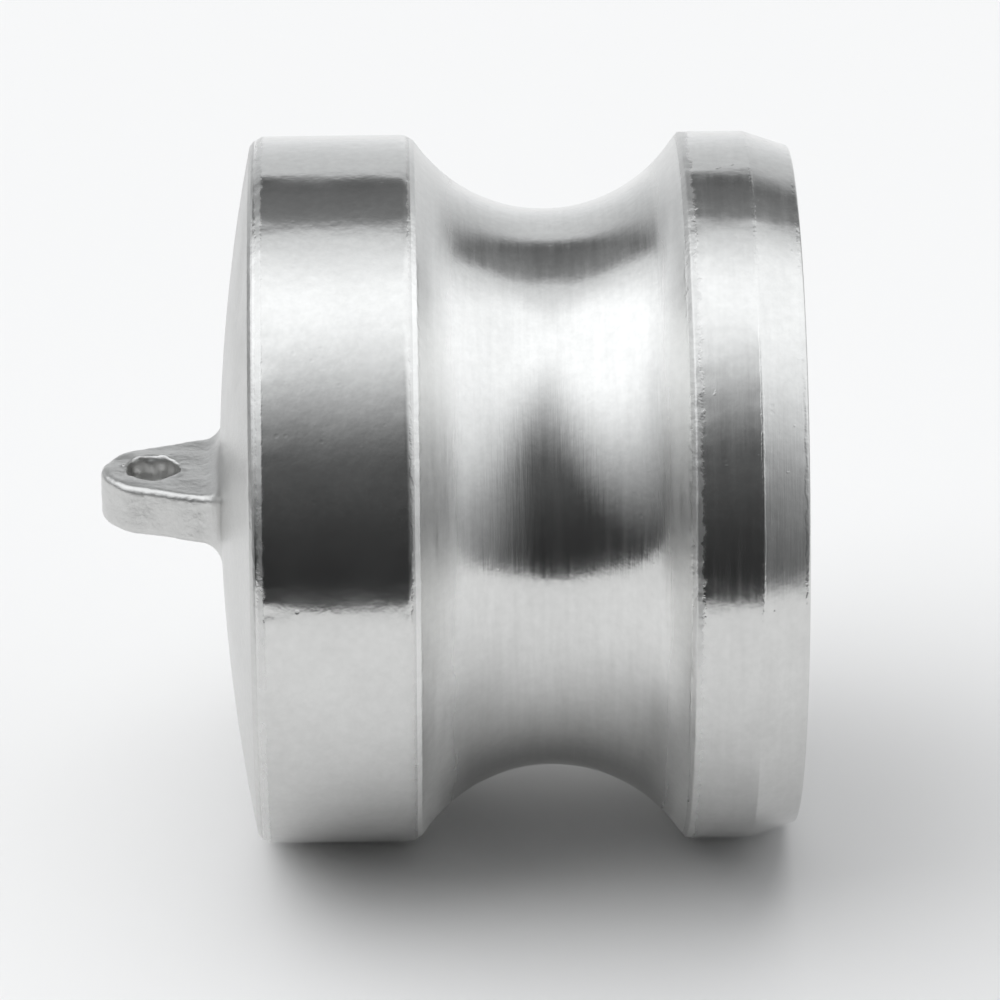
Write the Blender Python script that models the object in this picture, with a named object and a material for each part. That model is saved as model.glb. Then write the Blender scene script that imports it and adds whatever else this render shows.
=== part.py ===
"""Cam-and-groove dust plug, 50 mm (2 inch) size: one stainless steel casting.

The plug's axis is +X. The sealing face looks along +X and the chain lug sticks out along -X, with its
flat faces square to Z. The origin is on the axis, half way between the lug's tip and the sealing face.
"""

import math

import bmesh
import bpy
from mathutils import Matrix

MM = 0.001

# Driving dimensions
COLLAR_RADIUS = 31.5 * MM
NOSE_RADIUS = 31.5 * MM
BODY_LENGTH = 47.8 * MM  # rear rim to sealing face
GROOVE_ROOT_RADIUS = 24.8 * MM
GROOVE_ARC_RADIUS = 13.85 * MM
GROOVE_FROM_FACE = 21.7 * MM  # centre of the cam groove to the sealing face
COLLAR_BREAK_LENGTH = 0.82 * MM  # edge break between the collar's land and the groove
COLLAR_BREAK_DROP = 0.5 * MM
NOSE_BREAK_LENGTH = 0.5 * MM  # edge break between the groove and the nose's land
NOSE_BREAK_DROP = 0.58 * MM
REAR_BEVEL_LENGTH = 0.85 * MM
REAR_BEVEL_DROP = 0.45 * MM
RIM_BREAK_LENGTH = 0.3 * MM
RIM_BREAK_DROP = 0.45 * MM
DOME_HEIGHT = 3.05 * MM
TAPER_LENGTH = 4.05 * MM
TAPER_DROP = 1.35 * MM
FACE_EDGE_BREAK = 0.35 * MM

BORE_MOUTH_RADIUS = 20.6 * MM
BORE_FLOOR_RADIUS = 20.0 * MM
BORE_FLOOR_FROM_RIM = 2.2 * MM
BORE_FLOOR_FILLET = 3.0 * MM
BORE_MOUTH_CHAMFER = 0.5 * MM

LUG_REACH = 10.63 * MM  # dome's crown to lug's tip
LUG_THICKNESS = 4.6 * MM
LUG_TIP_RADIUS = 4.7 * MM
LUG_TAPER = math.radians(19.5)  # how far each side leans out from the plug's axis
LUG_EDGE_ROUND = 0.5 * MM
LUG_ROOT_FILLET = 1.8 * MM
EYE_RADIUS = 2.3 * MM
EYE_EDGE_BREAK = 0.3 * MM

# Places along the axis
FACE_X = (LUG_REACH + DOME_HEIGHT + BODY_LENGTH) / 2
RIM_X = FACE_X - BODY_LENGTH
CROWN_X = RIM_X - DOME_HEIGHT
GROOVE_X = FACE_X - GROOVE_FROM_FACE
BORE_FLOOR_X = RIM_X + BORE_FLOOR_FROM_RIM
TAPER_X = FACE_X - TAPER_LENGTH
LUG_TIP_X = CROWN_X - LUG_REACH
EYE_X = LUG_TIP_X + LUG_TIP_RADIUS

# Dome: a sphere's cap that ends at the rim
RIM_RADIUS = COLLAR_RADIUS - REAR_BEVEL_DROP - RIM_BREAK_DROP
DOME_SPHERE_RADIUS = (RIM_RADIUS**2 + DOME_HEIGHT**2) / (2 * DOME_HEIGHT)

# Fineness
TURN_STEPS = 72
DOME_STEPS = 5
GROOVE_STEPS = 18
FILLET_STEPS = 4
LUG_SIDE_STEPS = 3
LUG_TIP_STEPS = 7
LUG_CORNER_STEPS = 3
EYE_STEPS = 28

STEEL_COLOUR = (0.60, 0.60, 0.59, 1.0)
STEEL_ROUGHNESS = 0.28


def clear_scene():
    for obj in list(bpy.data.objects):
        bpy.data.objects.remove(obj, do_unlink=True)


def arc(centre, radius, start_deg, end_deg, steps):
    """Points (x, radius from the axis) along an arc in the half plane that is turned about X."""
    points = []
    for i in range(steps + 1):
        angle = math.radians(start_deg + (end_deg - start_deg) * i / steps)
        points.append((centre[0] + radius * math.cos(angle), centre[1] + radius * math.sin(angle)))
    return points


def dome_x(radius):
    """Where the dome's surface is along the axis, at a distance from the axis."""
    return CROWN_X + DOME_SPHERE_RADIUS - math.sqrt(DOME_SPHERE_RADIUS**2 - radius**2)


def groove_profile():
    """The cam groove: an arc, with a flat edge break at each land."""
    centre_radius = GROOVE_ROOT_RADIUS + GROOVE_ARC_RADIUS

    def foot(land_radius, drop):
        rise = centre_radius - (land_radius - drop)
        reach = math.sqrt(GROOVE_ARC_RADIUS**2 - rise**2)
        return reach, math.degrees(math.asin(rise / GROOVE_ARC_RADIUS))

    rear_reach, rear_angle = foot(COLLAR_RADIUS, COLLAR_BREAK_DROP)
    front_reach, front_angle = foot(NOSE_RADIUS, NOSE_BREAK_DROP)
    centre = (GROOVE_X, centre_radius)
    return [
        (GROOVE_X - rear_reach - COLLAR_BREAK_LENGTH, COLLAR_RADIUS),
        *arc(centre, GROOVE_ARC_RADIUS, 180 + rear_angle, 360 - front_angle, GROOVE_STEPS),
        (GROOVE_X + front_reach + NOSE_BREAK_LENGTH, NOSE_RADIUS),
    ]


def body_profile():
    """The half section of the body, from the dome's crown over the outside and back down the hollow."""
    dome = []
    for i in range(DOME_STEPS + 1):
        radius = RIM_RADIUS * i / DOME_STEPS
        dome.append((dome_x(radius), radius))
    rear_edge = [
        (RIM_X + RIM_BREAK_LENGTH, RIM_RADIUS + RIM_BREAK_DROP),
        (RIM_X + RIM_BREAK_LENGTH + REAR_BEVEL_LENGTH, COLLAR_RADIUS),
    ]
    face_edge_radius = NOSE_RADIUS - TAPER_DROP
    nose = [
        (TAPER_X, NOSE_RADIUS),
        (FACE_X - FACE_EDGE_BREAK, face_edge_radius),
        (FACE_X, face_edge_radius - FACE_EDGE_BREAK),
    ]
    mouth = [
        (FACE_X, BORE_MOUTH_RADIUS + BORE_MOUTH_CHAMFER),
        (FACE_X - BORE_MOUTH_CHAMFER, BORE_MOUTH_RADIUS),
    ]
    fillet_centre = (BORE_FLOOR_X + BORE_FLOOR_FILLET, BORE_FLOOR_RADIUS - BORE_FLOOR_FILLET)
    floor = arc(fillet_centre, BORE_FLOOR_FILLET, 90, 180, FILLET_STEPS)
    return [*dome, *rear_edge, *groove_profile(), *nose, *mouth, *floor, (BORE_FLOOR_X, 0.0)]


def new_object(name, bm):
    bmesh.ops.remove_doubles(bm, verts=bm.verts, dist=1e-7)
    bmesh.ops.recalc_face_normals(bm, faces=bm.faces)
    mesh = bpy.data.meshes.new(name)
    bm.to_mesh(mesh)
    bm.free()
    obj = bpy.data.objects.new(name, mesh)
    bpy.context.scene.collection.objects.link(obj)
    return obj


def turned(name, profile, steps):
    """A solid turned about X from a profile of (x, radius) points whose ends lie on the axis."""
    bm = bmesh.new()
    verts = [bm.verts.new((x, 0.0, radius)) for x, radius in profile]
    edges = [bm.edges.new(pair) for pair in zip(verts, verts[1:])]
    bmesh.ops.spin(
        bm, geom=verts + edges, cent=(0, 0, 0), axis=(1, 0, 0), angle=2 * math.pi, steps=steps, use_merge=True
    )
    return new_object(name, bm)


def rounded_rectangle(half_width, half_height, corner):
    """Points (y, z) round a rectangle with rounded corners, anticlockwise from its first corner."""
    points = []
    for quarter, (side_y, side_z) in enumerate([(1, 1), (-1, 1), (-1, -1), (1, -1)]):
        for i in range(LUG_CORNER_STEPS + 1):
            angle = math.radians(90 * (quarter + i / LUG_CORNER_STEPS))
            y = side_y * (half_width - corner) + corner * math.cos(angle)
            z = side_z * (half_height - corner) + corner * math.sin(angle)
            points.append((y, z))
    return points


def lug_half_width(x):
    """Half the lug's width: a round tip about the eye, then straight sides that lean out to the root."""
    tangent_x = EYE_X - LUG_TIP_RADIUS * math.sin(LUG_TAPER)
    if x < tangent_x:
        return math.sqrt(LUG_TIP_RADIUS**2 - (EYE_X - x) ** 2)
    return LUG_TIP_RADIUS * math.cos(LUG_TAPER) + (x - tangent_x) * math.tan(LUG_TAPER)


def lug_rings():
    """The lug's cross-sections from just inside its tip to under the dome's surface, as (x, outline)."""
    half_thickness = LUG_THICKNESS / 2
    tangent_x = EYE_X - LUG_TIP_RADIUS * math.sin(LUG_TAPER)
    root_x = CROWN_X - LUG_ROOT_FILLET
    rings = []
    blunt = math.radians(12)
    for i in range(LUG_TIP_STEPS + 1):
        angle = blunt + (math.pi / 2 - LUG_TAPER - blunt) * i / LUG_TIP_STEPS
        x = EYE_X - LUG_TIP_RADIUS * math.cos(angle)
        if i == 0:
            x = LUG_TIP_X
        rings.append((x, LUG_TIP_RADIUS * math.sin(angle), half_thickness, LUG_EDGE_ROUND))
    for i in range(1, LUG_SIDE_STEPS + 1):
        x = tangent_x + (root_x - tangent_x) * i / LUG_SIDE_STEPS
        rings.append((x, lug_half_width(x), half_thickness, LUG_EDGE_ROUND))
    for i in range(1, FILLET_STEPS + 1):
        angle = math.pi / 2 * i / FILLET_STEPS
        flare = LUG_ROOT_FILLET * (1 - math.cos(angle))
        x = root_x + LUG_ROOT_FILLET * math.sin(angle)
        rings.append((x, lug_half_width(x) + flare, half_thickness + flare, LUG_EDGE_ROUND + flare))
    x, half_width, half_height, corner = rings[-1]
    rings.append((x + LUG_ROOT_FILLET, half_width, half_height, corner))
    return [(x, rounded_rectangle(width, height, corner)) for x, width, height, corner in rings]


def lug_solid():
    """The chain lug, skinned over its cross-sections."""
    bm = bmesh.new()
    loops = []
    for x, outline in lug_rings():
        verts = [bm.verts.new((x, y, z)) for y, z in outline]
        loops.append([bm.edges.new((verts[i - 1], verts[i])) for i in range(len(verts))])
    for loop, following in zip(loops, loops[1:]):
        bmesh.ops.bridge_loops(bm, edges=loop + following)
    bmesh.ops.holes_fill(bm, edges=bm.edges, sides=0)
    return new_object("lug", bm)


def eye_cutter():
    """The eye through the lug, a little wider at both faces of the lug."""
    half_thickness = LUG_THICKNESS / 2
    over = LUG_THICKNESS
    profile = [
        (-over, 0.0),
        (-over, EYE_RADIUS + EYE_EDGE_BREAK),
        (-half_thickness, EYE_RADIUS + EYE_EDGE_BREAK),
        (-half_thickness + EYE_EDGE_BREAK, EYE_RADIUS),
        (half_thickness - EYE_EDGE_BREAK, EYE_RADIUS),
        (half_thickness, EYE_RADIUS + EYE_EDGE_BREAK),
        (over, EYE_RADIUS + EYE_EDGE_BREAK),
        (over, 0.0),
    ]
    cutter = turned("eye_cutter", profile, EYE_STEPS)
    cutter.matrix_world = Matrix.Translation((EYE_X, 0, 0)) @ Matrix.Rotation(math.pi / 2, 4, "Y")
    return cutter


def hide(helper):
    helper.hide_render = True
    helper.display_type = "WIRE"


def boolean(target, other, operation):
    modifier = target.modifiers.new(f"{operation.lower()} {other.name}", "BOOLEAN")
    modifier.operation = operation
    modifier.solver = "EXACT"
    modifier.object = other
    hide(other)


def steel():
    material = bpy.data.materials.new("cast_stainless_steel")
    material.use_nodes = True
    shader = material.node_tree.nodes["Principled BSDF"]
    shader.inputs["Base Color"].default_value = STEEL_COLOUR
    shader.inputs["Metallic"].default_value = 1.0
    shader.inputs["Roughness"].default_value = STEEL_ROUGHNESS
    return material


def main():
    clear_scene()
    plug = turned("dust_plug", body_profile(), TURN_STEPS)
    boolean(plug, lug_solid(), "UNION")
    boolean(plug, eye_cutter(), "DIFFERENCE")
    plug.data.materials.append(steel())
    plug.data.shade_smooth()
    plug.data.set_sharp_from_angle(angle=math.radians(25))


main()
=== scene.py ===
"""The looks of a cast stainless steel dust plug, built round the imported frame."""

import math

import bmesh
import bpy
import numpy as np
from mathutils import Matrix, Vector, noise


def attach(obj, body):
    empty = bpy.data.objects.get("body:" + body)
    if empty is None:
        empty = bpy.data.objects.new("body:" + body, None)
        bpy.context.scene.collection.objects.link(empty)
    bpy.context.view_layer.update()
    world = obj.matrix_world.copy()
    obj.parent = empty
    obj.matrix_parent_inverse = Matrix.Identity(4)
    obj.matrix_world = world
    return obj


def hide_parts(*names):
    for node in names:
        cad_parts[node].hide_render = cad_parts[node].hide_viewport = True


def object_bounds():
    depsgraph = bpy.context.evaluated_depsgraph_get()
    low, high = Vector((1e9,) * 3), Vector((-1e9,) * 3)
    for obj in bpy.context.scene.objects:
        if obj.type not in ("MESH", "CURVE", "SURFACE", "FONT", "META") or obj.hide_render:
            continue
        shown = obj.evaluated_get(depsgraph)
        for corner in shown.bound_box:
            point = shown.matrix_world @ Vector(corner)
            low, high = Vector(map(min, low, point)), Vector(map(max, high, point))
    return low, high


MM = 0.001
MICRON = 0.000001

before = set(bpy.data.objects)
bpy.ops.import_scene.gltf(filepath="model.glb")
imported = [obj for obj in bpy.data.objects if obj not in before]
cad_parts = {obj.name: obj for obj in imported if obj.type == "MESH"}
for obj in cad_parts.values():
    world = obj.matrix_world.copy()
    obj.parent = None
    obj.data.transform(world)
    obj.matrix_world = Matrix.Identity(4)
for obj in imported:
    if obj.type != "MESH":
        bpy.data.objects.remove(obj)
cad_low, cad_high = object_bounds()

# ---------------------------------------- sizes, in millimetres, as in the CAD part
COLLAR_R = 31.5
NOSE_R = 31.5
FACE_X = cad_high.x / MM
BODY_LENGTH = 47.8
RIM_X = FACE_X - BODY_LENGTH
RIM_R = 30.6
DOME_HEIGHT = 3.05
CROWN_X = RIM_X - DOME_HEIGHT
DOME_R = (RIM_R**2 + DOME_HEIGHT**2) / (2 * DOME_HEIGHT)
RIM_BREAK = (0.3, 0.45)  # each edge break is (along the axis, across it)
REAR_BEVEL = (0.85, 0.45)
GROOVE_X = FACE_X - 21.7
GROOVE_ROOT_R = 24.8
GROOVE_ARC_R = 13.85
COLLAR_BREAK = (0.82, 0.5)
NOSE_BREAK = (0.5, 0.58)
TAPER_LENGTH = 4.05
TAPER_DROP = 1.35
BORE_MOUTH_R = 20.6
BORE_FLOOR_R = 20.0
BORE_FLOOR_X = RIM_X + 2.2
BORE_FILLET = 3.0
MOUTH_CHAMFER = 0.5

LUG_TIP_X = cad_low.x / MM
LUG_HALF_THICKNESS = 2.3
LUG_TIP_R = 4.7
LUG_TAPER = math.radians(19.5)  # how far each side leans out from the plug's axis
LUG_EDGE_ROUND = 0.62
LUG_ROOT_FILLET = 1.8
LUG_INSET = 0.13  # keeps the casting's lumps inside the CAD part's box
EYE_X = LUG_TIP_X + LUG_TIP_R
EYE_R = 2.4
EYE_EDGE_ROUND = 0.2

TURNS = 384  # steps round the axis
DOME_STEPS = 24
GROOVE_STEPS = 40
FILLET_STEPS = 7
SEAM_R = 9.9  # where the dome's rings meet the lug's skin
LUG_GRID = 0.165  # the spacing of the grid that the lug's skin is found on


# ---------------------------------------- turned body
def dome_x(r):
    """Where the dome's surface is along the axis, at a distance from the axis."""
    return CROWN_X + DOME_R - math.sqrt(DOME_R**2 - r**2)


def corner(before, at, after, radius, steps=4):
    """An arc that rounds one corner of the profile, with a support point just past each end."""
    a, p, b = Vector(before), Vector(at), Vector(after)
    u, v = (a - p).normalized(), (b - p).normalized()
    half = u.angle(v) / 2
    reach = min(radius / math.tan(half), 0.45 * (a - p).length, 0.45 * (b - p).length)
    radius = reach * math.tan(half)
    centre = p + (u + v).normalized() * (radius / math.sin(half))
    start, end = p + u * reach - centre, p + v * reach - centre
    support = 0.12
    points = [tuple(p + u * min(reach + support, 0.48 * (a - p).length))]
    for i in range(steps + 1):
        out = start.lerp(end, i / steps)
        points.append(tuple(centre + out.normalized() * radius))
    points.append(tuple(p + v * min(reach + support, 0.48 * (b - p).length)))
    return points


def groove_points():
    """The collar's corner, the groove's arc between its two edge breaks, and the nose's corner."""
    centre_r = GROOVE_ROOT_R + GROOVE_ARC_R

    def foot(land_r, drop):
        rise = centre_r - (land_r - drop)
        return math.sqrt(GROOVE_ARC_R**2 - rise**2), math.asin(rise / GROOVE_ARC_R)

    rear_reach, rear_angle = foot(COLLAR_R, COLLAR_BREAK[1])
    front_reach, front_angle = foot(NOSE_R, NOSE_BREAK[1])
    arc = []
    for i in range(GROOVE_STEPS + 1):
        t = math.pi + rear_angle + (math.pi - rear_angle - front_angle) * i / GROOVE_STEPS
        arc.append((GROOVE_X + GROOVE_ARC_R * math.cos(t), centre_r + GROOVE_ARC_R * math.sin(t)))
    collar_end = (GROOVE_X - rear_reach - COLLAR_BREAK[0], COLLAR_R)
    return collar_end, arc, (GROOVE_X + front_reach + NOSE_BREAK[0], NOSE_R)


def spread(start, end, step):
    """Evenly spaced points strictly between two corners of the profile."""
    a, b = Vector(start), Vector(end)
    n = max(1, round((b - a).length / step))
    return [tuple(a.lerp(b, i / n)) for i in range(1, n)]


def profile():
    """(x, radius, finish, wear) along the half section, from the dome's seam ring to the bore's centre.

    The finish is that of the band before the ring, and wear is how far the nicks reach in at the ring.
    """
    rows = []

    def add(points, finish, wear=0.0):
        rows.extend((x, r, finish, wear) for x, r in points)

    rim = (RIM_X, RIM_R)
    rim_top = (RIM_X + RIM_BREAK[0], RIM_R + RIM_BREAK[1])
    land_rear = (rim_top[0] + REAR_BEVEL[0], COLLAR_R)
    collar_end, arc, nose_start = groove_points()
    taper_start = (FACE_X - TAPER_LENGTH, NOSE_R)
    face_outer = (FACE_X, NOSE_R - TAPER_DROP)
    mouth_outer = (FACE_X, BORE_MOUTH_R + MOUTH_CHAMFER)
    mouth_inner = (FACE_X - MOUTH_CHAMFER, BORE_MOUTH_R)
    dome = [SEAM_R + (RIM_R - 0.3 - SEAM_R) * i / DOME_STEPS for i in range(DOME_STEPS + 1)]
    add([(dome_x(r), r) for r in dome], "cast")
    add(corner((dome_x(dome[-1]), dome[-1]), rim, rim_top, radius=0.3), "cast", wear=0.05)
    add(corner(rim, rim_top, land_rear, radius=0.3), "cast", wear=0.07)
    add(corner(rim_top, land_rear, collar_end, radius=0.35), "ground", wear=0.06)
    add(spread(land_rear, collar_end, step=1.5), "ground")
    add(corner(land_rear, collar_end, arc[0], radius=1.8, steps=5), "ground", wear=0.03)
    add(corner(collar_end, arc[0], arc[2], radius=0.4), "turned", wear=0.05)
    add(arc[2:-2], "turned")
    add(corner(arc[-3], arc[-1], nose_start, radius=0.3), "turned", wear=0.03)
    add(corner(arc[-1], nose_start, taper_start, radius=0.3), "nose", wear=0.08)
    add(spread(nose_start, taper_start, step=1.5), "nose")
    add(corner(nose_start, taper_start, face_outer, radius=0.2), "nose", wear=0.03)
    add(spread(taper_start, face_outer, step=1.0), "nose")
    add(corner(taper_start, face_outer, mouth_outer, radius=0.3), "nose", wear=0.04)
    add(spread(face_outer, mouth_outer, step=1.8), "faced")
    add(corner(face_outer, mouth_outer, mouth_inner, radius=0.15, steps=2), "faced")
    bore_end = (BORE_FLOOR_X + BORE_FILLET, BORE_FLOOR_R)
    add(corner(mouth_outer, mouth_inner, bore_end, radius=0.2, steps=2), "turned")
    add(spread(mouth_inner, bore_end, step=4.0), "bore")
    for i in range(FILLET_STEPS + 1):
        t = math.pi / 2 * (1 + i / FILLET_STEPS)
        x = BORE_FLOOR_X + BORE_FILLET + BORE_FILLET * math.cos(t)
        add([(x, BORE_FLOOR_R - BORE_FILLET + BORE_FILLET * math.sin(t))], "bore")
    for r in (13.0, 9.0, 5.0, 1.5):
        add([(BORE_FLOOR_X, r)], "bore")
    return rows


def nick(x, r, a):
    """0 to 1: how deep the edge is worn in at this place."""
    place = Vector((x, r * math.sin(a), r * math.cos(a)))
    broad = abs(noise.noise(place * 0.55))
    fine = abs(noise.noise(place * 1.3 + Vector((7, 3, 1))))
    return min(1.0, 0.9 * broad + 1.1 * fine)


def turned_body(bm, finishes):
    """Turns the profile about X. Returns the first ring, which the lug's skin joins."""
    rows = profile()
    rings = []
    for x, r, _, wear in rows:
        ring = []
        for i in range(TURNS):
            a = 2 * math.pi * i / TURNS
            worn = r - wear * nick(x, r, a) if wear else r
            ring.append(bm.verts.new((x, worn * math.sin(a), worn * math.cos(a))))
        rings.append(ring)
    for k in range(len(rings) - 1):
        index = finishes.index(rows[k + 1][2])
        for i in range(TURNS):
            j = (i + 1) % TURNS
            face = bm.faces.new((rings[k][i], rings[k][j], rings[k + 1][j], rings[k + 1][i]))
            face.material_index = index
    pole = bm.verts.new((rows[-1][0], 0, 0))
    for i in range(TURNS):
        face = bm.faces.new((rings[-1][i], rings[-1][(i + 1) % TURNS], pole))
        face.material_index = finishes.index("bore")
    return rings[0]


# ---------------------------------------- lug
def round_union(a, b, radius):
    """Two distances joined into one solid, with a fillet of this radius between them."""
    u = np.maximum(radius - a, 0)
    v = np.maximum(radius - b, 0)
    return np.maximum(radius, np.minimum(a, b)) - np.sqrt(u * u + v * v)


def round_cut(a, b, radius):
    """What is inside both distances, with an edge of this radius between them."""
    u = np.maximum(radius + a, 0)
    v = np.maximum(radius + b, 0)
    return np.minimum(-radius, np.maximum(a, b)) + np.sqrt(u * u + v * v)


def ripple(x, y, z, size, seed):
    """A smooth uneven field between about -1 and 1, for the slight lumps of a casting."""
    rng = np.random.default_rng(seed)
    total = np.zeros_like(x)
    waves = 10
    for _ in range(waves):
        direction = rng.normal(size=3)
        direction *= 2 * math.pi / (size * np.linalg.norm(direction)) * rng.uniform(0.6, 1.4)
        phase = rng.uniform(0, 2 * math.pi)
        total += np.sin(direction[0] * x + direction[1] * y + direction[2] * z + phase)
    return total / 3.2


def lug_distance(x, y, z):
    """How far a point is outside the domed back and its lug, in millimetres. Negative inside."""
    side = np.abs(y)
    along = (x - EYE_X) * math.cos(LUG_TAPER) + side * math.sin(LUG_TAPER)
    across = -(x - EYE_X) * math.sin(LUG_TAPER) + side * math.cos(LUG_TAPER)
    outline = np.where(along > 0, across, np.hypot(x - EYE_X, y)) - LUG_TIP_R
    lumps = 0.008 * ripple(x, y, z, size=1.5, seed=6) + 0.007 * ripple(x, y, z, size=0.8, seed=7)
    outline = outline + LUG_INSET + 0.06 * ripple(x, y, z, size=4.5, seed=3) + lumps
    flat = np.abs(z) - LUG_HALF_THICKNESS + 0.05 * ripple(x, y, z, size=3.6, seed=4) + lumps
    a = outline + LUG_EDGE_ROUND
    b = flat + LUG_EDGE_ROUND
    past_edge = np.hypot(np.maximum(a, 0), np.maximum(b, 0))
    plate = np.minimum(np.maximum(a, b), 0) + past_edge - LUG_EDGE_ROUND
    dome = np.sqrt((x - CROWN_X - DOME_R) ** 2 + y * y + z * z) - DOME_R

    # The eye: a slightly uneven hole, with a burr here and there on its rim
    radius = np.hypot(x - EYE_X, y)
    turn = np.arctan2(y, x - EYE_X)
    ragged = 0.06 * np.sin(3 * turn + 0.8) + 0.05 * np.sin(5 * turn + 2.0 + 0.5 * z)
    ragged = ragged + 0.08 * ripple(x, y, z, size=1.1, seed=5)
    eye = EYE_R + ragged - radius
    near_rim = np.exp(-(((radius - EYE_R - 0.25) / 0.35) ** 2))
    burr = 0.09 * near_rim * np.maximum(ripple(x, y, z, size=0.9, seed=8), 0)
    return round_cut(round_union(plate, dome, LUG_ROOT_FILLET) - burr, eye, EYE_EDGE_ROUND)


def lug_skin(bm, finishes):
    """A skin over the lug and the middle of the dome, to just inside SEAM_R. Returns its edge loop."""
    step = LUG_GRID
    reach = math.ceil(SEAM_R / step) + 4
    xs = np.arange(LUG_TIP_X - 2 * step, CROWN_X + 1.2, step)
    ys = (np.arange(-reach, reach) + 0.5) * step  # the lug's flat faces fall between two planes
    grid = np.meshgrid(xs, ys, ys, indexing="ij")
    field = lug_distance(*grid)
    inside = field < 0

    # One point in each cell that the surface crosses, at the middle of its crossings
    total = np.zeros(tuple(n - 1 for n in field.shape) + (3,))
    count = np.zeros(tuple(n - 1 for n in field.shape))
    lows = [slice(0, -1), slice(1, None)]
    for axis in range(3):
        others = [k for k in range(3) if k != axis]
        for p in range(2):
            for q in range(2):
                near, far = [None] * 3, [None] * 3
                near[axis], far[axis] = lows[0], lows[1]
                near[others[0]] = far[others[0]] = lows[p]
                near[others[1]] = far[others[1]] = lows[q]
                f0, f1 = field[tuple(near)], field[tuple(far)]
                crossing = (f0 < 0) != (f1 < 0)
                share = np.where(crossing, f0 / np.where(crossing, f0 - f1, 1), 0)
                offset = np.zeros(total.shape)
                offset[..., axis] = share
                offset[..., others[0]] = p
                offset[..., others[1]] = q
                total += offset * crossing[..., None]
                count += crossing
    used = count > 0
    cells = np.argwhere(used)
    places = cells + total[used] / count[used][:, None]
    points = places * step + np.array([xs[0], ys[0], ys[0]])

    # Each point slides along the field's slope onto the surface
    near_by = 0.01
    for _ in range(4):
        f = lug_distance(*points.T)
        rises = [
            lug_distance(*(points + d).T) - lug_distance(*(points - d).T)
            for d in np.eye(3) * near_by
        ]
        slope = np.stack(rises, axis=1) / (2 * near_by)
        points -= (f / np.maximum((slope**2).sum(1), 0.2))[:, None] * slope

    # One face round each edge of the grid that the surface crosses
    index = -np.ones(used.shape, int)
    index[used] = np.arange(len(cells))
    quads = []
    for axis in range(3):
        o1, o2 = [(1, 2), (2, 0), (0, 1)][axis]
        near = [slice(1, -1)] * 3
        far = [slice(1, -1)] * 3
        near[axis], far[axis] = slice(0, -1), slice(1, None)
        a, b = inside[tuple(near)], inside[tuple(far)]
        for flip, mask in ((False, a & ~b), (True, ~a & b)):
            at = np.argwhere(mask)
            at[:, o1] += 1
            at[:, o2] += 1
            corners = []
            for s, t in ((1, 1), (0, 1), (0, 0), (1, 0)):
                c = at.copy()
                c[:, o1] -= s
                c[:, o2] -= t
                corners.append(index[c[:, 0], c[:, 1], c[:, 2]])
            quad = np.stack(corners, axis=1)
            quads.append(quad[:, ::-1] if flip else quad)
    quads = np.concatenate(quads)
    radius = np.hypot(points[:, 1], points[:, 2])
    quads = quads[(radius[quads] < SEAM_R - 0.2).all(axis=1)]
    quads = quads[points[quads][:, :, 0].max(axis=1) < CROWN_X + 1.0]

    verts = {n: bm.verts.new(points[n]) for n in np.unique(quads)}
    middles = points[quads].mean(axis=1)
    in_eye = np.hypot(middles[:, 0] - EYE_X, middles[:, 1]) < EYE_R + 0.15
    in_eye &= np.abs(middles[:, 2]) < LUG_HALF_THICKNESS - 0.25
    for quad, rough in zip(quads, in_eye):
        face = bm.faces.new([verts[n] for n in quad])
        face.material_index = finishes.index("bore" if rough else "cast")
    return [v for v in verts.values() if v.is_boundary]


def zip_rings(bm, inner, outer, material_index):
    """Triangles between two rings about X, advancing round whichever lags."""

    def turn(v):
        return math.atan2(v.co.y, v.co.z) % (2 * math.pi)

    inner = sorted(inner, key=turn)
    outer = sorted(outer, key=turn)
    i = j = 0
    while i < len(inner) or j < len(outer):
        a, b = inner[i % len(inner)], outer[j % len(outer)]
        next_a = turn(inner[(i + 1) % len(inner)]) + 2 * math.pi * ((i + 1) // len(inner))
        next_b = turn(outer[(j + 1) % len(outer)]) + 2 * math.pi * ((j + 1) // len(outer))
        if j >= len(outer) or (i < len(inner) and next_a < next_b):
            face = bm.faces.new((a, inner[(i + 1) % len(inner)], b))
            i += 1
        else:
            face = bm.faces.new((a, outer[(j + 1) % len(outer)], b))
            j += 1
        face.material_index = material_index


# ---------------------------------------- materials
LAND_REAR_X = RIM_X + RIM_BREAK[0] + REAR_BEVEL[0]
COLLAR_END_X = groove_points()[0][0]
NOSE_START_X = groove_points()[2][0]
DARK_TINT = 0.87  # times a steel's colour, where its tint is 0
LIGHT_TINT = 1.01  # the same, where its tint is 1


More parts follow.
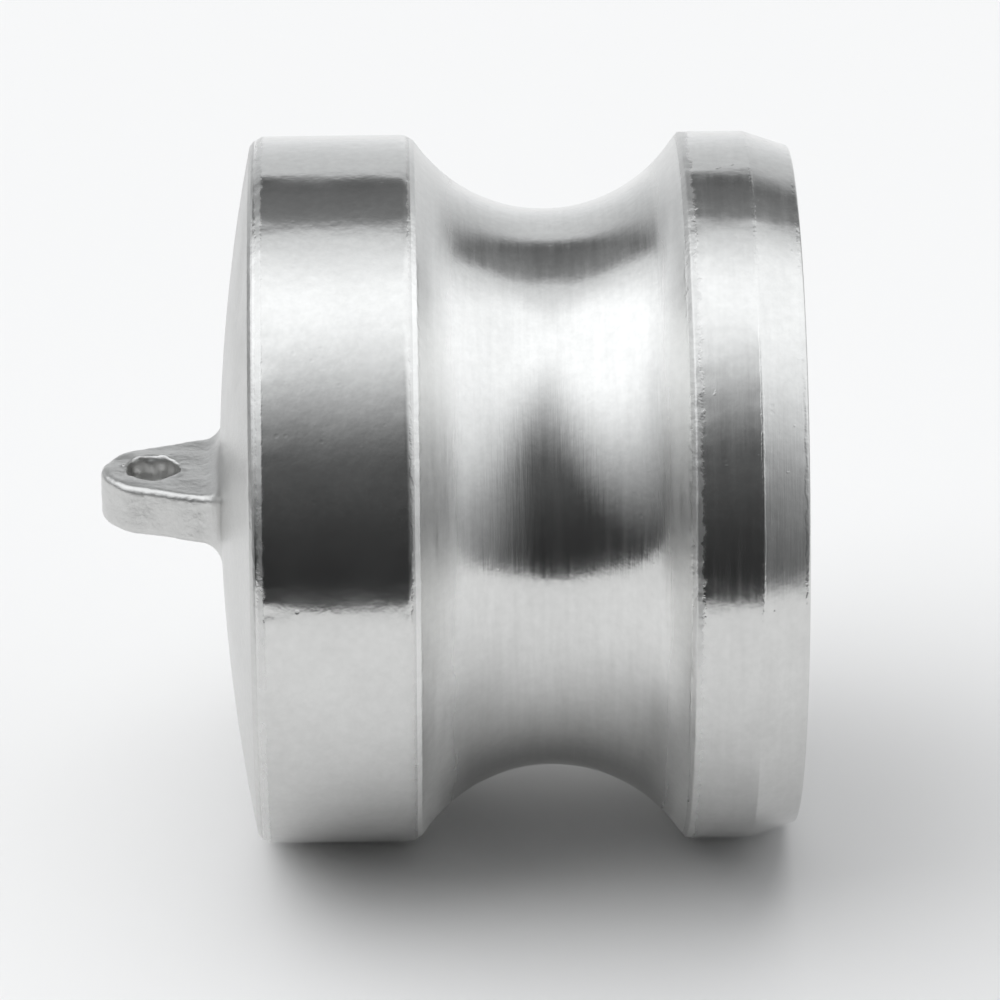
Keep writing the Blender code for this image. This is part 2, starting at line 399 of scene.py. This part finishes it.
class Nodes:
    """Short calls for building one node tree."""

    def __init__(self, tree):
        self.tree = tree

    def add(self, kind, **settings):
        node = self.tree.nodes.new(kind)
        for key, value in settings.items():
            setattr(node, key, value)
        return node

    def feed(self, value, socket):
        """Sets a socket to a number, or links an output to it."""
        if isinstance(value, (int, float)):
            socket.default_value = value
        else:
            self.tree.links.new(value, socket)

    def math(self, operation, *values):
        node = self.add("ShaderNodeMath", operation=operation)
        for i, value in enumerate(values):
            self.feed(value, node.inputs[i])
        return node.outputs[0]

    def split(self, vector):
        node = self.add("ShaderNodeSeparateXYZ")
        self.feed(vector, node.inputs[0])
        return node.outputs[0], node.outputs[1], node.outputs[2]

    def join(self, x, y, z):
        node = self.add("ShaderNodeCombineXYZ")
        for i, value in enumerate((x, y, z)):
            self.feed(value, node.inputs[i])
        return node.outputs[0]

    def noise(self, vector, scale, detail=2.0, rough=0.5):
        node = self.add("ShaderNodeTexNoise")
        node.inputs["Scale"].default_value = scale
        node.inputs["Detail"].default_value = detail
        node.inputs["Roughness"].default_value = rough
        self.feed(vector, node.inputs["Vector"])
        return node.outputs["Fac"]

    def remap(self, value, low, high, to_low, to_high):
        node = self.add("ShaderNodeMapRange")
        self.feed(value, node.inputs["Value"])
        self.feed(low, node.inputs["From Min"])
        self.feed(high, node.inputs["From Max"])
        self.feed(to_low, node.inputs["To Min"])
        self.feed(to_high, node.inputs["To Max"])
        return node.outputs["Result"]

    def noise_to(self, value, low, high):
        """Stretches the middle of a noise's range to run from low to high."""
        return self.remap(value, 0.3, 0.7, low, high)

    def smooth_step(self, value, low, high):
        """0 up to low and 1 from high, with an S curve between them."""
        node = self.add("ShaderNodeMapRange", interpolation_type="SMOOTHSTEP")
        self.feed(value, node.inputs["Value"])
        self.feed(low, node.inputs["From Min"])
        self.feed(high, node.inputs["From Max"])
        return node.outputs["Result"]

    def between(self, share, a, b):
        """a where share is 0 and b where it is 1."""
        node = self.add("ShaderNodeMix", data_type="FLOAT")
        self.feed(share, node.inputs["Factor"])
        self.feed(a, node.inputs["A"])
        self.feed(b, node.inputs["B"])
        return node.outputs["Result"]

    def bump(self, height, microns, before=None):
        """The normal of a relief this deep, on top of the normal before it, if there is one."""
        node = self.add("ShaderNodeBump")
        node.inputs["Strength"].default_value = 1.0
        node.inputs["Distance"].default_value = microns * MICRON
        self.feed(height, node.inputs["Height"])
        if before is not None:
            self.feed(before, node.inputs["Normal"])
        return node.outputs["Normal"]


def steel(name, colour, build):
    """A stainless steel material.

    build gets the nodes and the object coordinates, and returns the roughness, the normal and how
    light the tint is.
    """
    material = bpy.data.materials.new(name)
    material.use_nodes = True
    tree = material.node_tree
    nodes = Nodes(tree)
    shader = tree.nodes["Principled BSDF"]
    shader.inputs["Metallic"].default_value = 1.0
    place = nodes.add("ShaderNodeTexCoord").outputs["Object"]
    roughness, normal, tint = build(nodes, place)
    nodes.feed(roughness, shader.inputs["Roughness"])
    nodes.feed(normal, shader.inputs["Normal"])
    mottle = nodes.remap(nodes.noise(place, scale=1200, detail=4.0, rough=0.7), 0.32, 0.68, -0.28, 0.28)
    mix = nodes.add("ShaderNodeMix", data_type="RGBA")
    mix.clamp_factor = False
    mix.inputs["A"].default_value = (*[c * DARK_TINT for c in colour], 1)
    mix.inputs["B"].default_value = (*[c * LIGHT_TINT for c in colour], 1)
    nodes.feed(nodes.math("ADD", tint, mottle), mix.inputs["Factor"])
    nodes.feed(mix.outputs["Result"], shader.inputs["Base Color"])
    return material


def ring_lines(nodes, place, scale, around):
    """Noise that changes fast along X and slowly round the axis, as a turning tool leaves it."""
    x, y, z = nodes.split(place)
    x = nodes.math("MULTIPLY", x, scale)
    y = nodes.math("MULTIPLY", y, around)
    z = nodes.math("MULTIPLY", z, around)
    return nodes.noise(nodes.join(x, y, z), scale=1.0, detail=3.0, rough=0.6)


def worn_edges(nodes, place, edges, reach):
    """A ragged mask: 1 at each of these X positions, in millimetres, and 0 from about reach away."""
    x = nodes.split(place)[0]
    nearest = None
    for edge in edges:
        away = nodes.math("ABSOLUTE", nodes.math("SUBTRACT", x, edge * MM))
        nearest = away if nearest is None else nodes.math("MINIMUM", nearest, away)
    near = nodes.remap(nearest, 0.0, reach * MM, 1.5, -0.3)
    ragged = nodes.math("MULTIPLY_ADD", nodes.noise(place, scale=1000, detail=3.0, rough=0.6), 2.4, -1.2)
    both = nodes.math("ADD", near, ragged)
    return nodes.remap(both, 0.2, 0.8, 0.0, 1.0)


def dents(nodes, place, mask, microns, before):
    """Small uneven dents wherever mask is on."""
    height = nodes.math("MULTIPLY", mask, nodes.noise(place, scale=1500, detail=2.0, rough=0.6))
    return nodes.bump(height, microns, before)


def pits(nodes, place, scale, share):
    """Sparse round pits, one in this share of the cells: 0 on the plain surface, -1 deep in a pit."""
    cells = nodes.add("ShaderNodeTexVoronoi")
    cells.inputs["Scale"].default_value = scale
    nodes.feed(place, cells.inputs["Vector"])
    chosen = nodes.add("ShaderNodeSeparateColor")
    nodes.feed(cells.outputs["Color"], chosen.inputs[0])
    here = nodes.math("LESS_THAN", chosen.outputs[0], share)
    dip = nodes.remap(cells.outputs["Distance"], 0.12, 0.3, -1.0, 0.0)
    return nodes.math("MULTIPLY", dip, here)


def cast_finish(nodes, place):
    """The domed back and the lug: dull, with the fine lumps of an investment casting."""
    lumps = nodes.noise(place, scale=2200, detail=3.0, rough=0.6)
    grain = nodes.noise(place, scale=4200, detail=2.0, rough=0.6)
    patches = nodes.noise(place, scale=160, detail=2.0)
    normal = nodes.bump(lumps, 50)
    normal = nodes.bump(grain, 15, normal)
    return nodes.noise_to(patches, 0.29, 0.40), normal, patches


def ground_finish(nodes, place):
    """The collar's land: nearly polished, with a slight orange peel and a few pits."""
    peel = nodes.noise(place, scale=2300, detail=2.0, rough=0.5)
    waves = nodes.noise(place, scale=950, detail=2.0)
    swell = nodes.noise(place, scale=300, detail=1.0)
    patches = nodes.noise(place, scale=170, detail=3.0)
    normal = nodes.bump(swell, 12)
    normal = nodes.bump(waves, 10, normal)
    normal = nodes.bump(peel, 2.5, normal)
    normal = nodes.bump(pits(nodes, place, scale=520, share=0.05), 8, normal)
    normal = nodes.bump(pits(nodes, place, scale=1300, share=0.06), 4, normal)
    edges = worn_edges(nodes, place, (LAND_REAR_X - 0.2, COLLAR_END_X + 0.4), reach=0.5)
    normal = dents(nodes, place, edges, 25, normal)
    roughness = nodes.noise_to(patches, 0.10, 0.16)
    return nodes.math("MULTIPLY_ADD", edges, 0.15, roughness), normal, patches


def turned_finish(nodes, place):
    """The groove: tool rings all round, duller on its two steep sides, whose colour is also painted
    lighter as a painted sheen.
    """
    coarse = ring_lines(nodes, place, scale=1500, around=110)
    fine = ring_lines(nodes, place, scale=6500, around=160)
    patches = nodes.noise(place, scale=140, detail=2.0)
    peel = nodes.noise(place, scale=1300, detail=2.0)
    normal = nodes.bump(coarse, 16)
    normal = nodes.bump(fine, 6, normal)
    normal = nodes.bump(peel, 6, normal)
    normal = nodes.bump(pits(nodes, place, scale=1400, share=0.03), 3, normal)
    edges = worn_edges(nodes, place, (COLLAR_END_X + 0.6, NOSE_START_X - 0.2), reach=0.5)
    normal = dents(nodes, place, edges, 40, normal)
    from_middle = nodes.math("SUBTRACT", nodes.split(place)[0], GROOVE_X * MM)
    rear_flank = nodes.smooth_step(nodes.math("MULTIPLY", from_middle, -1.0), 6.5 * MM, 10.5 * MM)
    front_flank = nodes.smooth_step(from_middle, 8.5 * MM, 10.5 * MM)
    roughness = nodes.noise_to(coarse, 0.10, 0.18)
    roughness = nodes.math("MULTIPLY_ADD", rear_flank, 0.24, roughness)
    roughness = nodes.math("MULTIPLY_ADD", front_flank, 0.2, roughness)
    # Painted sheen: the steep sides' colour is made lighter, standing in for the brighter studio walls
    # that they reflect
    painted_flank_sheen = nodes.math("MULTIPLY", nodes.math("MAXIMUM", rear_flank, front_flank), 1.6)
    streaks = nodes.math("MULTIPLY_ADD", coarse, 1.4, -0.7)
    return roughness, normal, nodes.math("ADD", nodes.math("ADD", patches, painted_flank_sheen), streaks)


def faced_finish(nodes, place):
    """The sealing face: fine rings about the axis, as a facing cut leaves them."""
    _, y, z = nodes.split(place)
    squares = nodes.math("ADD", nodes.math("MULTIPLY", y, y), nodes.math("MULTIPLY", z, z))
    across_rings = nodes.math("MULTIPLY", nodes.math("SQRT", squares), 4500)
    y = nodes.math("MULTIPLY", y, 60)
    z = nodes.math("MULTIPLY", z, 60)
    rings = nodes.noise(nodes.join(across_rings, y, z), scale=1.0, detail=4.0, rough=0.65)
    patches = nodes.noise(place, scale=130, detail=2.0)
    normal = nodes.bump(rings, 6)
    normal = nodes.bump(nodes.noise(place, scale=1300, detail=2.0), 5, normal)
    normal = nodes.bump(pits(nodes, place, scale=700, share=0.06), 8, normal)
    return nodes.noise_to(rings, 0.16, 0.28), normal, patches


def nose_finish(nodes, place):
    """The nose and its taper: tool rings, a rough edge at the groove and faint wear at the others."""
    coarse = ring_lines(nodes, place, scale=1500, around=90)
    fine = ring_lines(nodes, place, scale=6500, around=150)
    patches = nodes.noise(place, scale=150, detail=2.0)
    peel = nodes.noise(place, scale=1100, detail=2.0)
    normal = nodes.bump(coarse, 12)
    normal = nodes.bump(fine, 5, normal)
    normal = nodes.bump(peel, 7, normal)
    normal = nodes.bump(pits(nodes, place, scale=1200, share=0.06), 4, normal)
    groove_edge = worn_edges(nodes, place, (NOSE_START_X,), reach=1.0)
    face_edge = worn_edges(nodes, place, (FACE_X - 0.1,), reach=0.5)
    corner_line = worn_edges(nodes, place, (FACE_X - TAPER_LENGTH,), reach=0.22)
    normal = dents(nodes, place, groove_edge, 45, normal)
    normal = dents(nodes, place, nodes.math("MAXIMUM", face_edge, corner_line), 25, normal)
    roughness = nodes.noise_to(coarse, 0.10, 0.18)
    roughness = nodes.math("MULTIPLY_ADD", groove_edge, 0.2, roughness)
    streaks = nodes.math("MULTIPLY_ADD", coarse, 1.0, -0.5)
    return roughness, normal, nodes.math("ADD", patches, streaks)


def bore_finish(nodes, place):
    """The hollow and the eye, left dull as cast."""
    lumps = nodes.noise(place, scale=700, detail=3.0)
    patches = nodes.noise(place, scale=110, detail=2.0)
    return nodes.noise_to(patches, 0.40, 0.55), nodes.bump(lumps, 60), patches


# ---------------------------------------- the plug
STEELS = {
    "cast": ("as_cast_steel", (0.655, 0.655, 0.645), cast_finish),
    "ground": ("ground_steel", (0.68, 0.68, 0.67), ground_finish),
    "turned": ("turned_steel", (0.70, 0.70, 0.69), turned_finish),
    "nose": ("turned_nose_steel", (0.68, 0.68, 0.67), nose_finish),
    "bore": ("cast_bore_steel", (0.58, 0.58, 0.57), bore_finish),
    "faced": ("faced_steel", (0.69, 0.69, 0.68), faced_finish),
}


def make_plug():
    finishes = list(STEELS)
    bm = bmesh.new()
    first_ring = turned_body(bm, finishes)
    skin_edge = lug_skin(bm, finishes)
    zip_rings(bm, skin_edge, first_ring, finishes.index("cast"))
    bmesh.ops.recalc_face_normals(bm, faces=bm.faces)
    bm.transform(Matrix.Scale(MM, 4))
    mesh = bpy.data.meshes.new("dust_plug_body")
    bm.to_mesh(mesh)
    bm.free()
    for name, colour, build in STEELS.values():
        mesh.materials.append(steel(name, colour, build))
    mesh.shade_smooth()
    body = bpy.data.objects.new("dust_plug_body", mesh)
    bpy.context.scene.collection.objects.link(body)
    return body


plug = make_plug()
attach(plug, "root")
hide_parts("dust_plug")

# ---------------------------------------- floor
FLOOR_Z = cad_low.z
FLOOR_REACH = 6.0
FLOOR_BRIGHTNESS = 0.80
PAPER_BRIGHTNESS = 0.83
PAPER_MIDDLE = Vector((0.010, -0.012, 0))
PAPER_RADIUS = 0.155
PAPER_BACK = 1.5  # how far behind the plug the paper goes
PAPER_LIFT = 0.05 * MM  # keeps the paper just above the floor


def flat_floor(name, outline, brightness):
    """A level sheet with this outline, at the height that the plug lies at."""
    mesh = bpy.data.meshes.new(name)
    mesh.from_pydata([(x, y, 0) for x, y in outline], [], [tuple(range(len(outline)))])
    floor = bpy.data.objects.new(name, mesh)
    floor.location.z = FLOOR_Z
    bpy.context.scene.collection.objects.link(floor)
    material = bpy.data.materials.new(name)
    material.use_nodes = True
    shader = material.node_tree.nodes["Principled BSDF"]
    shader.inputs["Base Color"].default_value = (brightness, brightness, brightness, 1)
    shader.inputs["Roughness"].default_value = 0.9
    shader.inputs["Specular IOR Level"].default_value = 0.1
    mesh.materials.append(material)
    return floor


def paper_outline():
    """A half disc in front of the plug, fuller at its two sides, carried straight back behind it."""
    points = []
    steps = 48
    for i in range(steps + 1):
        t = math.pi * (1 + i / steps)
        radius = PAPER_RADIUS * (1 + 0.34 * math.sin(2 * t) ** 2 + 0.5 * math.cos(t) ** 4)
        points.append((PAPER_MIDDLE.x + radius * math.cos(t), PAPER_MIDDLE.y + radius * math.sin(t)))
    return points + [(points[-1][0], PAPER_BACK), (points[0][0], PAPER_BACK)]


def paint_shade_on_paper(paper):
    """Paints shade on the paper: its colour gets darker in front, from about PAPER_RADIUS, standing in
    for where the studio's light ends.
    """
    tree = paper.data.materials[0].node_tree
    nodes = Nodes(tree)
    x, y, _ = nodes.split(nodes.add("ShaderNodeTexCoord").outputs["Object"])
    sideways = nodes.math("MULTIPLY", nodes.math("SUBTRACT", x, PAPER_MIDDLE.x), 0.75)
    forward = nodes.math("MINIMUM", nodes.math("SUBTRACT", y, PAPER_MIDDLE.y), 0.0)
    squares = nodes.math("ADD", nodes.math("POWER", sideways, 2.0), nodes.math("POWER", forward, 2.0))
    away = nodes.math("SQRT", squares)
    share = nodes.remap(away, 0.95 * PAPER_RADIUS, 1.35 * PAPER_RADIUS, 1.0, 0.25)
    # Painted shade: the paper's colour runs from PAPER_BRIGHTNESS down towards black away from its
    # middle
    mix = nodes.add("ShaderNodeMix", data_type="RGBA")
    mix.inputs["A"].default_value = (0, 0, 0, 1)
    mix.inputs["B"].default_value = (PAPER_BRIGHTNESS, PAPER_BRIGHTNESS, PAPER_BRIGHTNESS, 1)
    nodes.feed(share, mix.inputs["Factor"])
    nodes.feed(mix.outputs["Result"], tree.nodes["Principled BSDF"].inputs["Base Color"])


def make_floor():
    """The floor that the camera sees, and the paper that the plug's polished faces see instead.

    Past the paper's edge, these faces see the dark of the studio.
    """
    outline = [(x * FLOOR_REACH, y * FLOOR_REACH) for x, y in ((-1, -1), (1, -1), (1, 1), (-1, 1))]
    floor = flat_floor("floor", outline, FLOOR_BRIGHTNESS)
    floor.visible_glossy = False
    paper = flat_floor("paper_in_reflections", paper_outline(), PAPER_BRIGHTNESS)
    # Paints shade on the paper's colour, darker away from its middle
    paint_shade_on_paper(paper)
    paper.location.z += PAPER_LIFT
    paper.visible_camera = False
    paper.visible_diffuse = False
    paper.visible_shadow = False
    paper.visible_transmission = False


make_floor()

# ---------------------------------------- light
PEAK = 1.5  # the brightest of the white tent
STUDIO_ON_MATT = 0.55  # the share of the studio's light that matt surfaces get, besides the lamp's
STUDIO_TINT = (0.985, 1.0, 1.015, 1)
BACKGROUND = 0.93  # what the camera sees past the floor


def bell(nodes, value, middle, left_width, right_width):
    """1 at middle, falling off as a bell curve with its own width on each side."""
    side = nodes.math("SUBTRACT", value, middle)
    right = nodes.math("DIVIDE", nodes.math("MAXIMUM", side, 0.0), right_width)
    left = nodes.math("DIVIDE", nodes.math("MINIMUM", side, 0.0), left_width)
    both = nodes.math("ADD", right, left)
    return nodes.math("EXPONENT", nodes.math("MULTIPLY", nodes.math("MULTIPLY", both, both), -1.0))


def arch(nodes, across, elevation, half_width, height, power):
    """1 on the edge of an arch that stands on the horizon, less inside it and more outside.

    A power of 2 makes an ellipse, and a higher one squarer shoulders.
    """
    a = nodes.math("POWER", nodes.math("DIVIDE", across, half_width), power)
    b = nodes.math("POWER", nodes.math("DIVIDE", nodes.math("MAXIMUM", elevation, 0.0), height), power)
    return nodes.math("POWER", nodes.math("ADD", a, b), 1 / power)


def open_front(nodes, azimuth, elevation):
    """The dark opening in front, lighter towards the nose end and upwards."""
    right = nodes.math("MULTIPLY_ADD", nodes.smooth_step(azimuth, 10.0, 90.0), 0.62, 0.05)
    rising = nodes.math("MULTIPLY_ADD", nodes.smooth_step(elevation, -12.0, 30.0), 0.9, 0.6)
    light = nodes.math("MULTIPLY", right, rising)
    light = nodes.math("MULTIPLY_ADD", nodes.smooth_step(elevation, 8.0, 45.0), 0.06, light)
    # A glow low down at both sides, from the paper's far parts
    beside = nodes.between(nodes.smooth_step(nodes.math("ABSOLUTE", azimuth), 5.0, 40.0), 0.3, 1.0)
    glow = nodes.math("MULTIPLY", bell(nodes, elevation, -12.0, 4.0, 4.0), beside)
    return nodes.math("MULTIPLY_ADD", glow, 0.18, light)


def tent_walls(nodes, x, outer):
    """The white walls and top: a little brighter on the left, dimmer close to the arch behind."""
    walls = nodes.between(nodes.smooth_step(x, -0.5, 0.8), PEAK * 1.03, PEAK * 0.93)
    return nodes.math("MULTIPLY", walls, nodes.between(nodes.smooth_step(outer, 0.95, 1.5), 0.58, 1.0))


def arch_behind(nodes, across, elevation):
    """A dark frame round a light backdrop, with an inner edge that softens towards the sides."""
    inner = arch(nodes, across, elevation, half_width=43.0, height=33.5, power=2.0)
    sideways = nodes.smooth_step(across, 5.0, 34.0)
    dark = nodes.between(nodes.smooth_step(inner, 1.22, 1.32), 0.145, 0.185)
    dark = nodes.between(nodes.smooth_step(inner, 1.32, 1.85), dark, 0.27)
    dark = nodes.math("MULTIPLY", dark, nodes.between(sideways, 1.0, 1.35))
    backdrop = nodes.between(nodes.smooth_step(elevation, -15.0, 26.0), 1.04, 0.79)
    backdrop = nodes.math("MULTIPLY", backdrop, nodes.between(sideways, 1.0, 0.72))
    soft_from = nodes.between(sideways, 0.95, 0.74)
    soft_to = nodes.between(sideways, 1.07, 1.22)
    return nodes.between(nodes.smooth_step(inner, soft_from, soft_to), backdrop, dark)


def studio_light(nodes):
    """How bright the studio is in each direction: a white tent with an open front and an arch behind.

    Directions are in degrees. Azimuth 0 is the front (-Y) and 90 the plug's nose end (+X).
    """
    x, y, z = nodes.split(nodes.add("ShaderNodeTexCoord").outputs["Generated"])
    degrees = 180 / math.pi
    azimuth = nodes.math("ARCTAN2", x, nodes.math("MULTIPLY", y, -1.0))
    azimuth = nodes.math("MULTIPLY", azimuth, degrees)
    elevation = nodes.math("MULTIPLY", nodes.math("ARCSINE", z), degrees)
    across = nodes.math("SUBTRACT", 180.0, nodes.math("ABSOLUTE", azimuth))
    outer = arch(nodes, across, elevation, half_width=46.0, height=62.5, power=3.2)

    # The front is dark up to dark_top, highest at the middle, and the walls are white from white_from
    dark_top = nodes.math("MULTIPLY_ADD", bell(nodes, azimuth, 9.0, 44.0, 50.0), 46.0, -13.0)
    white_from = nodes.math("MULTIPLY_ADD", bell(nodes, azimuth, 10.0, 95.0, 87.0), 66.0, 22.0)
    white = nodes.smooth_step(elevation, dark_top, white_from)
    tent = nodes.between(white, open_front(nodes, azimuth, elevation), tent_walls(nodes, x, outer))
    behind = arch_behind(nodes, across, elevation)
    return nodes.between(nodes.smooth_step(outer, 0.93, 1.05), behind, tent)


def studio_world():
    world = bpy.data.worlds.new("studio")
    world.use_nodes = True
    tree = world.node_tree
    nodes = Nodes(tree)
    background = tree.nodes["Background"]
    rays = nodes.add("ShaderNodeLightPath").outputs
    on_matt = nodes.between(rays["Is Diffuse Ray"], 1.0, STUDIO_ON_MATT)
    light = nodes.math("MULTIPLY", studio_light(nodes), on_matt)
    background.inputs["Color"].default_value = STUDIO_TINT
    nodes.feed(nodes.between(rays["Is Camera Ray"], light, BACKGROUND), background.inputs["Strength"])
    bpy.context.scene.world = world


def lamp_behind():
    """A very broad soft lamp high up behind and to the left, which the steel doesn't mirror."""
    data = bpy.data.lights.new("lamp_behind", "SUN")
    data.energy = 2.4
    data.angle = math.radians(105)
    lamp = bpy.data.objects.new("lamp_behind", data)
    towards_lamp = Vector((-0.45, 0.30, 0.80))
    lamp.rotation_euler = towards_lamp.to_track_quat("Z", "Y").to_euler()
    lamp.visible_glossy = False
    bpy.context.scene.collection.objects.link(lamp)


studio_world()
lamp_behind()

# ---------------------------------------- camera
CAMERA_DISTANCE = 0.620
CAMERA_AZIMUTH = math.radians(-1.1)
CAMERA_ELEVATION = math.radians(25.0)
CAMERA_ROLL = math.radians(0.27)
CAMERA_LENS = 250
CAMERA_SENSOR = 36
CAMERA_CLIP_START = 0.01
AIM = Vector((0.00485, 0, 0))
AIM_BELOW_AXIS = 0.00117  # measured across the view


def make_camera():
    """Looks along +Y and down at the plug's side, with its nose on the right."""
    a, e = CAMERA_AZIMUTH, CAMERA_ELEVATION
    back = Vector((math.sin(a) * math.cos(e), -math.cos(a) * math.cos(e), math.sin(e)))
    right = Vector((math.cos(a), math.sin(a), 0))
    up = back.cross(right)
    turned_right = right * math.cos(CAMERA_ROLL) - up * math.sin(CAMERA_ROLL)
    turned_up = up * math.cos(CAMERA_ROLL) + right * math.sin(CAMERA_ROLL)
    data = bpy.data.cameras.new("camera")
    data.lens = CAMERA_LENS
    data.sensor_width = CAMERA_SENSOR
    data.clip_start = CAMERA_CLIP_START
    camera = bpy.data.objects.new("camera", data)
    bpy.context.scene.collection.objects.link(camera)
    place = AIM - turned_up * AIM_BELOW_AXIS + back * CAMERA_DISTANCE
    rotation = Matrix((turned_right, turned_up, back)).transposed()
    camera.matrix_world = Matrix.Translation(place) @ rotation.to_4x4()
    bpy.context.scene.camera = camera


make_camera()
bpy.context.scene.view_settings.view_transform = "Standard"
